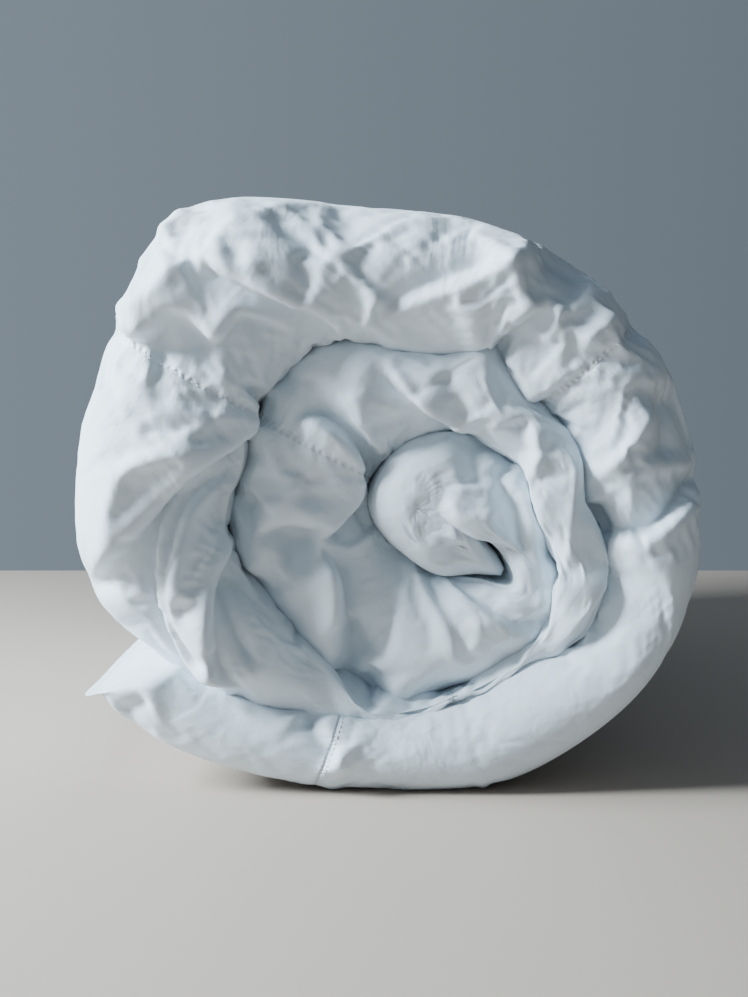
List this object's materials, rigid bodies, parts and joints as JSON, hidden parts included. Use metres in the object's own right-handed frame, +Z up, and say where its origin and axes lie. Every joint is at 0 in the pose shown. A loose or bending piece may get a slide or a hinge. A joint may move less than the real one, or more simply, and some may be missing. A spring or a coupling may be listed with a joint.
{
  "type": "rolled duvet",
  "caption": "White down duvet in cotton ticking, folded lengthwise and rolled up like a snail, with quilted chambers, hemmed edges and a free end flap that can droop.",
  "frame": {"origin": "centre of the roll's footprint box, on the surface it lies on", "axes": "+Y along the roll's axis from its folded front to its hemmed back, +Z up, +X to the right seen from the front; the free end flap is at -X"},
  "size_m": [0.4102, 0.68, 0.3845],
  "materials": {
    "ticking": "crisp downproof cotton percale, matt with a faint sheen",
    "hem_cotton": "folded and stitched cotton hem",
    "down": "loose down and small feathers",
    "baffle_mesh": "fine cotton net",
    "seam_tape": "folded cotton seam allowance with thread"
  },
  "bodies": {
    "roll": {"face_panel": "ticking", "back_panel": "ticking", "down_front_1": "down", "down_front_2": "down", "down_front_3": "down", "down_front_4": "down", "down_front_5": "down", "down_outer_1": "down", "down_outer_2": "down", "down_outer_3": "down", "down_outer_4": "down", "down_outer_5": "down", "down_inner_1": "down", "down_inner_2": "down", "down_inner_3": "down", "down_inner_4": "down", "down_inner_5": "down", "cross_baffle_1": "baffle_mesh", "cross_baffle_2": "baffle_mesh", "cross_baffle_3": "baffle_mesh", "cross_baffle_4": "baffle_mesh", "cross_baffle_5": "baffle_mesh", "long_baffle_outer": "baffle_mesh", "long_baffle_inner": "baffle_mesh", "cross_seam_tapes": "seam_tape", "side_hem_outer": "hem_cotton", "side_hem_inner": "hem_cotton", "core_end_hem": "hem_cotton"},
    "flap": {"flap_face_panel": "ticking", "flap_back_panel": "ticking", "flap_down_front": "down", "flap_down_outer": "down", "flap_down_inner": "down", "flap_long_baffles": "baffle_mesh", "flap_side_hems": "hem_cotton", "flap_end_hem": "hem_cotton"}
  },
  "joints": [
    {"name": "flap_bend", "type": "hinge", "parent": "roll", "child": "flap", "pos_m": [-0.0488, 0, 0], "axis": [0, -1, 0], "range_deg": [0, 10], "stiffness_Nm_per_rad": 0.6, "springref_deg": -8.59}
  ]
}
